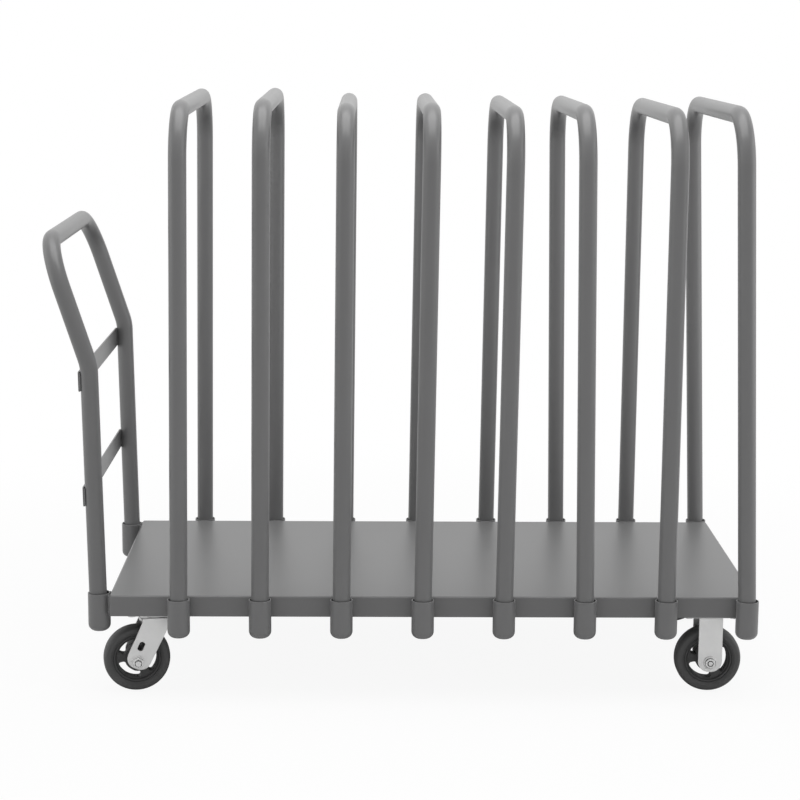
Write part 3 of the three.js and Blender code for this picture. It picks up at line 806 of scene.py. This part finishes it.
def turned(section, axis=ACROSS):
    """A ring from a closed section of radius and height, about Y or Z."""
    bm = bmesh.new()
    about_y = axis == ACROSS
    ring = [bm.verts.new((r, h, 0) if about_y else (r, 0, h)) for r, h in section]
    edges = [bm.edges.new(pair) for pair in zip(ring, ring[1:] + ring[:1])]
    bmesh.ops.spin(bm, geom=ring + edges, axis=axis, angle=2 * pi, steps=TURN_STEPS, use_merge=True)
    bmesh.ops.remove_doubles(bm, verts=bm.verts, dist=MERGE_DISTANCE)
    bmesh.ops.recalc_face_normals(bm, faces=bm.faces)
    return bm


def mirrored_section(half):
    """A section that is the same on both sides of the middle, from the points of one side."""
    return [(r, -h) for r, h in reversed(half)] + list(half)


def scaled(points):
    return [(r * MM, h * MM) for r, h in points]


# %% [markdown]
# The tyre's tread is slightly crowned, and its sides fall away gently to the rim, so from the side tyre and
# core look like one dark disc. The corners of its section are rounded afterwards in one bevel along the
# rings.

# %% Tyre
TYRE_HALF_WIDTH = 19.05
RIM_RADIUS = 45
RIM_HALF_WIDTH = 15
# How far the tread falls below the wheel's radius, and how far from the middle
TREAD_FALLS = ((0, 6), (0.7, 11), (2.3, 16), (5.4, TYRE_HALF_WIDTH))
SIDE_ABOVE_RIM = 6.0
# How far the tyre keeps off the rim, outwards and sideways
RIM_GAP = (0.3, 0.4)
TYRE_ROUNDING = 1.1 * MM
TYRE_ROUNDED_FROM = 14 * DEGREE
wheel_radius = joints["rigid_front_wheel_spin"]["pos_m"][2] / MM


def tyre():
    half = [(wheel_radius - fall, aside) for fall, aside in TREAD_FALLS]
    half.append((RIM_RADIUS + SIDE_ABOVE_RIM, TYRE_HALF_WIDTH))
    half.append((RIM_RADIUS + RIM_GAP[0], RIM_HALF_WIDTH + RIM_GAP[1]))
    bm = turned(scaled(mirrored_section(half)))
    round_edges(bm, sharp_edges(bm, TYRE_ROUNDED_FROM), TYRE_ROUNDING)
    return bm


# %% [markdown]
# The core is cast in one: rim, hub and a thick web between them. Rim and hub are turned, with draft on their
# walls. The web is a flat ring, filled between its edges and the outlines of the three windows, and given
# its thickness afterwards. The windows are parts of a ring with their corners rounded.

# %% Wheel core
HUB_RADIUS = 19
HUB_HALF = 31.9
BORE_RADIUS = 12.3
WEB_HALF = 11
RIM_LIP = 3.2
RIM_WALL = 5.5
CORE_DRAFT = 2
CORE_ROUNDING = 0.9 * MM
CORE_ROUNDED_FROM = 20 * DEGREE
WEB_OVERLAP = 2
WEB_ROUNDING = 1.2 * MM
WINDOW_INNER = 24
WINDOW_OUTER = 37.6
WINDOW_SWEEP = 88 * DEGREE
WINDOW_CORNER = 4.6
WINDOW_STEPS = 12
SPOKE_ANGLE = 177 * DEGREE
WINDOWS = 3


def window_outline(bm, middle_angle):
    """Edges round one window, in the XZ plane."""
    verts = []
    for radius, way in ((WINDOW_OUTER, 1), (WINDOW_INNER, -1)):
        for step in range(WINDOW_STEPS + 1):
            angle = middle_angle + way * WINDOW_SWEEP * (step / WINDOW_STEPS - 0.5)
            verts.append(bm.verts.new((radius * MM * cos(angle), 0, radius * MM * sin(angle))))
    bm.faces.new(verts)
    corners = [verts[0], verts[WINDOW_STEPS], verts[WINDOW_STEPS + 1], verts[-1]]
    round_corners(bm, corners, WINDOW_CORNER * MM, segments=6)


def web():
    bm = bmesh.new()
    upright = Matrix.Rotation(pi / 2, 4, "X")
    for radius in (RIM_RADIUS - WEB_OVERLAP, HUB_RADIUS - WEB_OVERLAP):
        bmesh.ops.create_circle(bm, segments=TURN_STEPS, radius=radius * MM, matrix=upright)
    for number in range(WINDOWS):
        window_outline(bm, SPOKE_ANGLE + 2 * pi * (number + 0.5) / WINDOWS)
    bmesh.ops.delete(bm, geom=bm.faces[:], context="FACES_ONLY")
    bmesh.ops.triangle_fill(bm, use_beauty=True, edges=bm.edges[:])
    bmesh.ops.recalc_face_normals(bm, faces=bm.faces)
    bmesh.ops.solidify(bm, geom=bm.faces[:], thickness=2 * WEB_HALF * MM)
    level = sum((vert.co.y for vert in bm.verts), 0.0) / len(bm.verts)
    bmesh.ops.translate(bm, vec=-ACROSS * level, verts=bm.verts)
    round_edges(bm, sharp_edges(bm), WEB_ROUNDING)
    return bm


def wheel_core():
    rim = [
        (RIM_RADIUS, RIM_HALF_WIDTH),
        (RIM_RADIUS - RIM_LIP, RIM_HALF_WIDTH),
        (RIM_RADIUS - RIM_WALL, WEB_HALF),
        (RIM_RADIUS - RIM_WALL, WEB_HALF - CORE_DRAFT),
    ]
    hub = [
        (HUB_RADIUS + CORE_DRAFT, WEB_HALF - CORE_DRAFT),
        (HUB_RADIUS + CORE_DRAFT, WEB_HALF),
        (HUB_RADIUS, HUB_HALF),
        (BORE_RADIUS, HUB_HALF),
    ]
    rings = [turned(scaled(mirrored_section(half))) for half in (rim, hub)]
    for ring in rings:
        round_edges(ring, sharp_edges(ring, CORE_ROUNDED_FROM), CORE_ROUNDING)
    return joined(*rings, web())


# %% [markdown]
# The axle is a bolt with a nut. The swivel casters show the nut and the bolt's end, and the rigid ones a
# round head with a groove in it, inside a raised collar. The grooves read as dark rings, so the rings that
# they part are turned one by one. A nut is a bar with six sides whose inside is let in to free the bolt's
# end.

# %% Axle bolt
LEG_OUTER = 37.5
AXLE_RADIUS = 6.35
AXLE_ROUNDING = 1.0
SUNK_IN_HEAD = 1
NUT_RADIUS = 10.9
NUT_HEIGHT = 8.4
NUT_ROUNDING = 0.8
NUT_MOUTH = 7.4
NUT_WELL = 0.8
WASHER_RADIUS = 12.4
WASHER = 0.9
WASHER_GAP = 0.1
WASHER_ROUNDING = 0.3
RING_ROUNDING = 0.6 * MM
# The radius of the bolt's end, and how far it stands out of its nut or head
BOLT_END = {"swivel": (5.4, 5.0), "rigid": (4.4, -1.0)}
HEAD_RING = (5.8, 9.2, 6.6)
COLLAR_RING = (10.5, 12.3, 2.6)


def round_bar(radius, start, end, rounding, sides=48, axis=ACROSS):
    """A bar or nut along Y or Z from start to end, its end edges broken, in millimetres."""
    bm = bmesh.new()
    turn = UP.rotation_difference(axis).to_matrix().to_4x4()
    place = Matrix.Translation(axis * (start + end) / 2 * MM) @ turn
    sizes = {"radius1": radius * MM, "radius2": radius * MM, "depth": (end - start) * MM}
    bmesh.ops.create_cone(bm, cap_ends=True, cap_tris=False, segments=sides, matrix=place, **sizes)
    bm.normal_update()
    ends = [edge for face in bm.faces if abs(face.normal.dot(axis)) > SQUARELY for edge in face.edges]
    round_edges(bm, ends, rounding * MM)
    return bm


def ring_on(face, sizes):
    """A ring that stands on a face towards -Y: its inner and outer radius, and how high it stands."""
    inside, outside, height = sizes
    corners = [(inside, -face), (outside, -face), (outside, -face - height), (inside, -face - height)]
    bm = turned(scaled(corners))
    round_edges(bm, sharp_edges(bm), RING_ROUNDING)
    return bm


def open_nut(face, near):
    """A nut from face to near, towards -Y, with its near side let in."""
    bm = round_bar(NUT_RADIUS, near, face, NUT_ROUNDING, sides=6)
    bm.normal_update()
    front = [side for side in bm.faces if side.normal.y < -SQUARELY]
    bmesh.ops.inset_region(bm, faces=front, thickness=(NUT_RADIUS * cos(pi / 6) - NUT_MOUTH) * MM)
    well = bmesh.ops.extrude_discrete_faces(bm, faces=front)["faces"]
    bmesh.ops.translate(bm, vec=ACROSS * NUT_WELL * (face - near) * MM, verts=well[0].verts)
    return bm


def axle_bolt(kind):
    face = LEG_OUTER + WASHER_GAP + WASHER
    near = -face - NUT_HEIGHT
    end_radius, reach = BOLT_END[kind]
    parts = [
        round_bar(AXLE_RADIUS, -face, face + NUT_HEIGHT - SUNK_IN_HEAD, AXLE_ROUNDING),
        round_bar(end_radius, near - reach, -face + SUNK_IN_HEAD, AXLE_ROUNDING),
        round_bar(WASHER_RADIUS, -face, -face + WASHER, WASHER_ROUNDING),
        round_bar(WASHER_RADIUS, face - WASHER, face, WASHER_ROUNDING),
        round_bar(NUT_RADIUS, face, face + NUT_HEIGHT, NUT_ROUNDING, sides=6),
    ]
    if kind == "rigid":
        parts += [ring_on(face, HEAD_RING), ring_on(face, COLLAR_RING)]
    else:
        parts.append(open_nut(-face, near))
    return joined(*parts)


# %% [markdown]
# Now the four wheels go on their axles. The core and the tyre turn with the wheel, as does the sleeve in its
# hub, while the bolt stays with whatever holds the fork.

# %% Wheels in place
SLEEVE_RADII = (6.7, 12)
SLEEVE_ROUNDING = 0.4 * MM


def turned_to(joint):
    """The frame of a wheel: its middle, with Y along the axle."""
    axis = axis_of(joint)
    return Matrix.Translation(joints[joint]["pos_m"]) @ Matrix.Rotation(atan2(-axis.x, axis.y), 4, "Z")


def sleeve():
    inside, outside = SLEEVE_RADII
    bm = turned(scaled([(inside, -HUB_HALF), (outside, -HUB_HALF), (outside, HUB_HALF), (inside, HUB_HALF)]))
    round_edges(bm, sharp_edges(bm), SLEEVE_ROUNDING, segments=2)
    return bm


casters = [(kind, side) for kind in ("swivel", "rigid") for side in sides]
for kind, side in casters:
    name = f"{kind}_{side}"
    place = turned_to(f"{name}_wheel_spin")
    body = f"{name}_wheel"
    carrier = name if kind == "swivel" else "frame"
    hand_in(placed(tyre(), place), f"{name}_tread", body, "tyre_rubber", f"{name}_tyre")
    hand_in(placed(wheel_core(), place), f"{name}_core", body, "cast_core", f"{name}_wheel_core")
    hand_in(placed(sleeve(), place), f"{name}_sleeve", body, "bare_steel", f"{name}_bearing")
    hand_in(placed(axle_bolt(kind), place), f"{name}_bolt", carrier, "zinc_plate", f"{name}_axle")
print("wheels:", len(casters))

# %% [markdown]
# ## Forks
#
# A fork is one strip of plate bent over the wheel. Its outer face is drawn as a leg with rounded lower
# corners and its holes cut out, bent over the top by a quarter spin, run to the middle and mirrored, and
# then given the plate's thickness inwards. The swivel fork leans back to the axle, which trails its pivot.

# %% Bent fork
FORK_PLATE = 5 * MM
FORK_BEND = 5.2 * MM
SLOT_SIZE = (11 * MM, 18 * MM)
SLOT_CORNER = 4.5 * MM
SLOT_ABOVE_AXLE = 30.5 * MM
SLOT_ASIDE = -7.2 * MM
AXLE_PLAY = 0.3
FORK_ROUNDING = 0.5 * MM
NEARLY = 0.01 * MM


def leg_face(axle, top, widths, below, rounding, slotted):
    """The outer face of one leg, in the XZ plane, up to where the bend starts."""
    bm = bmesh.new()
    along = (UP * top - axle).normalized()
    across = Vector((along.z, 0, -along.x))
    outline = []
    end_width, top_width = widths
    for side in (-1, 1):
        low = axle + across * side * end_width / 2 - along * below
        high = Vector((side * top_width / 2 / across.x, 0, top))
        bend = low.lerp(high, (top - FORK_BEND - low.z) / (high.z - low.z))
        outline += [low, bend] if side < 0 else [bend, low]
    verts = [bm.verts.new(point) for point in outline]
    bm.faces.new(verts)
    round_corners(bm, [verts[0], verts[3]], rounding, segments=8)
    hole = Matrix.Translation(axle) @ Matrix.Rotation(pi / 2, 4, "X")
    bmesh.ops.create_circle(bm, segments=32, radius=(AXLE_RADIUS + AXLE_PLAY) * MM, matrix=hole)
    if slotted:
        middle = axle + along * SLOT_ABOVE_AXLE + across * SLOT_ASIDE
        slot = []
        for side, end in ((-1, -1), (1, -1), (1, 1), (-1, 1)):
            aside = across * side * SLOT_SIZE[0] / 2
            slot.append(bm.verts.new(middle + aside + along * end * SLOT_SIZE[1] / 2))
        bm.faces.new(slot)
        round_corners(bm, slot, SLOT_CORNER, segments=8)
    bmesh.ops.delete(bm, geom=bm.faces[:], context="FACES_ONLY")
    bmesh.ops.triangle_fill(bm, use_beauty=True, edges=bm.edges[:])
    return bm


def bent_fork(axle, top, **leg):
    bm = leg_face(axle, top, **leg)
    half = LEG_OUTER * MM
    level = top - FORK_BEND
    bmesh.ops.translate(bm, vec=-ACROSS * half, verts=bm.verts)
    fold = [edge for edge in bm.edges if min(vert.co.z for vert in edge.verts) > level - NEARLY]
    bend = {"cent": (0, FORK_BEND - half, level), "axis": ALONG, "angle": -pi / 2, "steps": 8}
    last = bmesh.ops.spin(bm, geom=fold, **bend)["geom_last"]
    over = [item for item in last if isinstance(item, bmesh.types.BMEdge)]
    drawn_out(bm, over, ACROSS * (half - FORK_BEND))
    bmesh.ops.mirror(bm, geom=bm.verts[:] + bm.edges[:] + bm.faces[:], axis="Y", merge_dist=NEARLY)
    bmesh.ops.remove_doubles(bm, verts=bm.verts, dist=MERGE_DISTANCE)
    bmesh.ops.recalc_face_normals(bm, faces=bm.faces)
    bmesh.ops.solidify(bm, geom=bm.faces[:], thickness=FORK_PLATE)
    round_edges(bm, sharp_edges(bm), FORK_ROUNDING, segments=2)
    return bm


# %% [markdown]
# Each caster bolts on through a plate with rounded corners. Four bolts with low domed heads hold it up
# against its channel, and their nuts are inside the channel.

# %% Plates and bolts
PLATE_SIZE = (105 * MM, 92 * MM)
PLATE_THICKNESS = 6.35 * MM
PLATE_CORNER = 8 * MM
BOLT_HALF_SPACING = (42, 35.5)
BOLT_RADIUS = 4.7
BOLT_ROUNDING = 0.6
BOLT_GAP = 0.1
BOLT_ABOVE_CHANNEL = 8
BOLT_HEAD_RADIUS = 8.4
BOLT_HEAD = 2.2
BOLT_HEAD_ROUNDING = 1.6
BOLT_NUT = 6.5
BOLT_NUT_ROUNDING = 0.7


def plate(top):
    bm = flat_bar((*PLATE_SIZE, PLATE_THICKNESS), PLATE_CORNER, UP)
    return placed(bm, Matrix.Translation(UP * (top - PLATE_THICKNESS / 2)))


def plate_bolts(top):
    under = (top - PLATE_THICKNESS) / MM - BOLT_GAP
    over = deck_low.z / MM + CASTER_CHANNEL_WALL + BOLT_GAP
    tail = over + BOLT_ABOVE_CHANNEL
    parts = []
    for x in (-1, 1):
        for y in (-1, 1):
            bolt = joined(
                round_bar(BOLT_RADIUS, under - SUNK_IN_HEAD, tail, BOLT_ROUNDING, 24, UP),
                round_bar(BOLT_HEAD_RADIUS, under - BOLT_HEAD, under, BOLT_HEAD_ROUNDING, 32, UP),
                round_bar(BOLT_HEAD_RADIUS, over, over + BOLT_NUT, BOLT_NUT_ROUNDING, 6, UP),
            )
            spot = Vector((x * BOLT_HALF_SPACING[0] * MM, y * BOLT_HALF_SPACING[1] * MM, 0))
            parts.append(placed(bolt, Matrix.Translation(spot)))
    return joined(*parts)


# %% [markdown]
# The swivel head has two halves. The race on the plate has a skirt that comes down round a ring of balls.
# The crown of the fork closes it from below, with a lip over each leg that rises outside the skirt and
# hides most of it from the front. The kingpin holds the two together.

# %% Swivel casters
RACE_RADIUS = 33
RACE_SKIRT = 3.5
RACE_FLOOR = 5 * MM
RACE_IN_PLATE = 1 * MM
DISC_ROUNDING = 0.8 * MM
CROWN_THICKNESS = 5.5 * MM
CROWN_LIP = (57 * MM, 3.7 * MM)
CROWN_LIP_RISE = 5.2 * MM
CROWN_CORNER = 1.8 * MM
BALL_RADIUS = 2.7 * MM
BALL_CIRCLE = 25 * MM
BALLS = 26
KINGPIN_RADIUS = 8
PIN_HOLE = 8.4
KINGPIN_HEAD_RADIUS = 14
KINGPIN_HEAD = 4
KINGPIN_ROUNDING = 0.8
SWIVEL_LEG = {
    "widths": (45.5 * MM, 48.5 * MM),
    "below": 13.5 * MM,
    "rounding": 19 * MM,
    "slotted": True,
}


def disc(section):
    """A ring about Z from radii in millimetres and heights in metres."""
    bm = turned([(r * MM, h) for r, h in section], UP)
    round_edges(bm, sharp_edges(bm), DISC_ROUNDING)
    return bm


def race(skirt, bottom, top):
    inside = RACE_RADIUS - RACE_SKIRT
    rim = [(inside, bottom), (inside, skirt), (RACE_RADIUS, skirt), (RACE_RADIUS, top)]
    return disc([(PIN_HOLE, top), (PIN_HOLE, bottom)] + rim)


def crown(bottom, top):
    parts = [disc([(PIN_HOLE, bottom), (RACE_RADIUS, bottom), (RACE_RADIUS, top), (PIN_HOLE, top)])]
    lip_top = top + CROWN_LIP_RISE
    for way in (-1, 1):
        lip = flat_bar((*CROWN_LIP, lip_top - bottom), CROWN_CORNER, UP)
        middle = Vector((0, way * (LEG_OUTER * MM - CROWN_LIP[1] / 2), (bottom + lip_top) / 2))
        parts.append(placed(lip, Matrix.Translation(middle)))
    return joined(*parts)


def ball_ring(level):
    bm = bmesh.new()
    for number in range(BALLS):
        angle = 2 * pi * number / BALLS
        place = Matrix.Translation((BALL_CIRCLE * cos(angle), BALL_CIRCLE * sin(angle), level))
        bmesh.ops.create_icosphere(bm, subdivisions=2, radius=BALL_RADIUS, matrix=place)
    return bm


for side in sides:
    name = f"swivel_{side}"
    pivot = Vector(joints[f"{name}_turn"]["pos_m"])
    wheel = turned_to(f"{name}_wheel_spin")
    level = Matrix.Translation((pivot.x, pivot.y, 0))
    turning = level @ wheel.to_3x3().to_4x4()
    trail = Vector((pivot.x - wheel.translation.x, pivot.y - wheel.translation.y, 0)).length
    plate_low, plate_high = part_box(f"{name}_plate")
    crown_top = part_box(f"{name}_fork")[1].z
    pin_low, pin_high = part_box(f"{name}_kingpin")

    under = plate_high.z - PLATE_THICKNESS
    head = joined(plate(plate_high.z), race(plate_low.z, under - RACE_FLOOR, under + RACE_IN_PLATE))
    hand_in(placed(head, level), f"{name}_head", "frame", "zinc_plate", f"{name}_plate")
    hand_in(placed(plate_bolts(plate_high.z), level), f"{name}_plate_bolts", "frame", "zinc_plate")

    axle = Vector((-trail, 0, wheel.translation.z))
    fork = joined(bent_fork(axle, crown_top, **SWIVEL_LEG), crown(crown_top - CROWN_THICKNESS, crown_top))
    hand_in(placed(fork, turning), f"{name}_horn", name, "zinc_plate", f"{name}_fork")
    balls = ball_ring((under - RACE_FLOOR + crown_top) / 2)
    hand_in(placed(balls, turning), f"{name}_balls", name, "bare_steel", f"{name}_ball_ring")

    foot, end = pin_low.z / MM, pin_high.z / MM
    pin = joined(
        round_bar(KINGPIN_RADIUS, foot + SUNK_IN_HEAD, end, KINGPIN_ROUNDING, axis=UP),
        round_bar(KINGPIN_HEAD_RADIUS, foot, foot + KINGPIN_HEAD, KINGPIN_ROUNDING, sides=6, axis=UP),
    )
    hand_in(placed(pin, level), f"{name}_pin", "frame", "zinc_plate", f"{name}_kingpin")
print("swivel casters:", len(sides), "with", BALLS, "balls each")

# %% [markdown]
# The rigid casters have no head: the fork is welded straight to its plate, and its legs hang upright with
# rounder ends.

# %% Rigid casters
RIGID_LEG = {
    "widths": (46 * MM, 45.2 * MM),
    "below": 18.5 * MM,
    "rounding": 21 * MM,
    "slotted": False,
}

for side in sides:
    name = f"rigid_{side}"
    hub = Vector(joints[f"{name}_wheel_spin"]["pos_m"])
    level = Matrix.Translation((hub.x, hub.y, 0))
    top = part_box(f"{name}_fork")[1].z
    fork = bent_fork(Vector((0, 0, hub.z)), top - PLATE_THICKNESS, **RIGID_LEG)
    whole = joined(plate(top), fork)
    hand_in(placed(whole, level), f"{name}_horn", "frame", "zinc_plate", f"{name}_fork")
    hand_in(placed(plate_bolts(top), level), f"{name}_plate_bolts", "frame", "zinc_plate")
print("rigid casters:", len(sides))

# %% [markdown]
# ## The dressed size
#
# The dressed cart has to stay the size of the frame, so the box round all that renders is found.

# %% Sizes and the end
low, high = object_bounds()
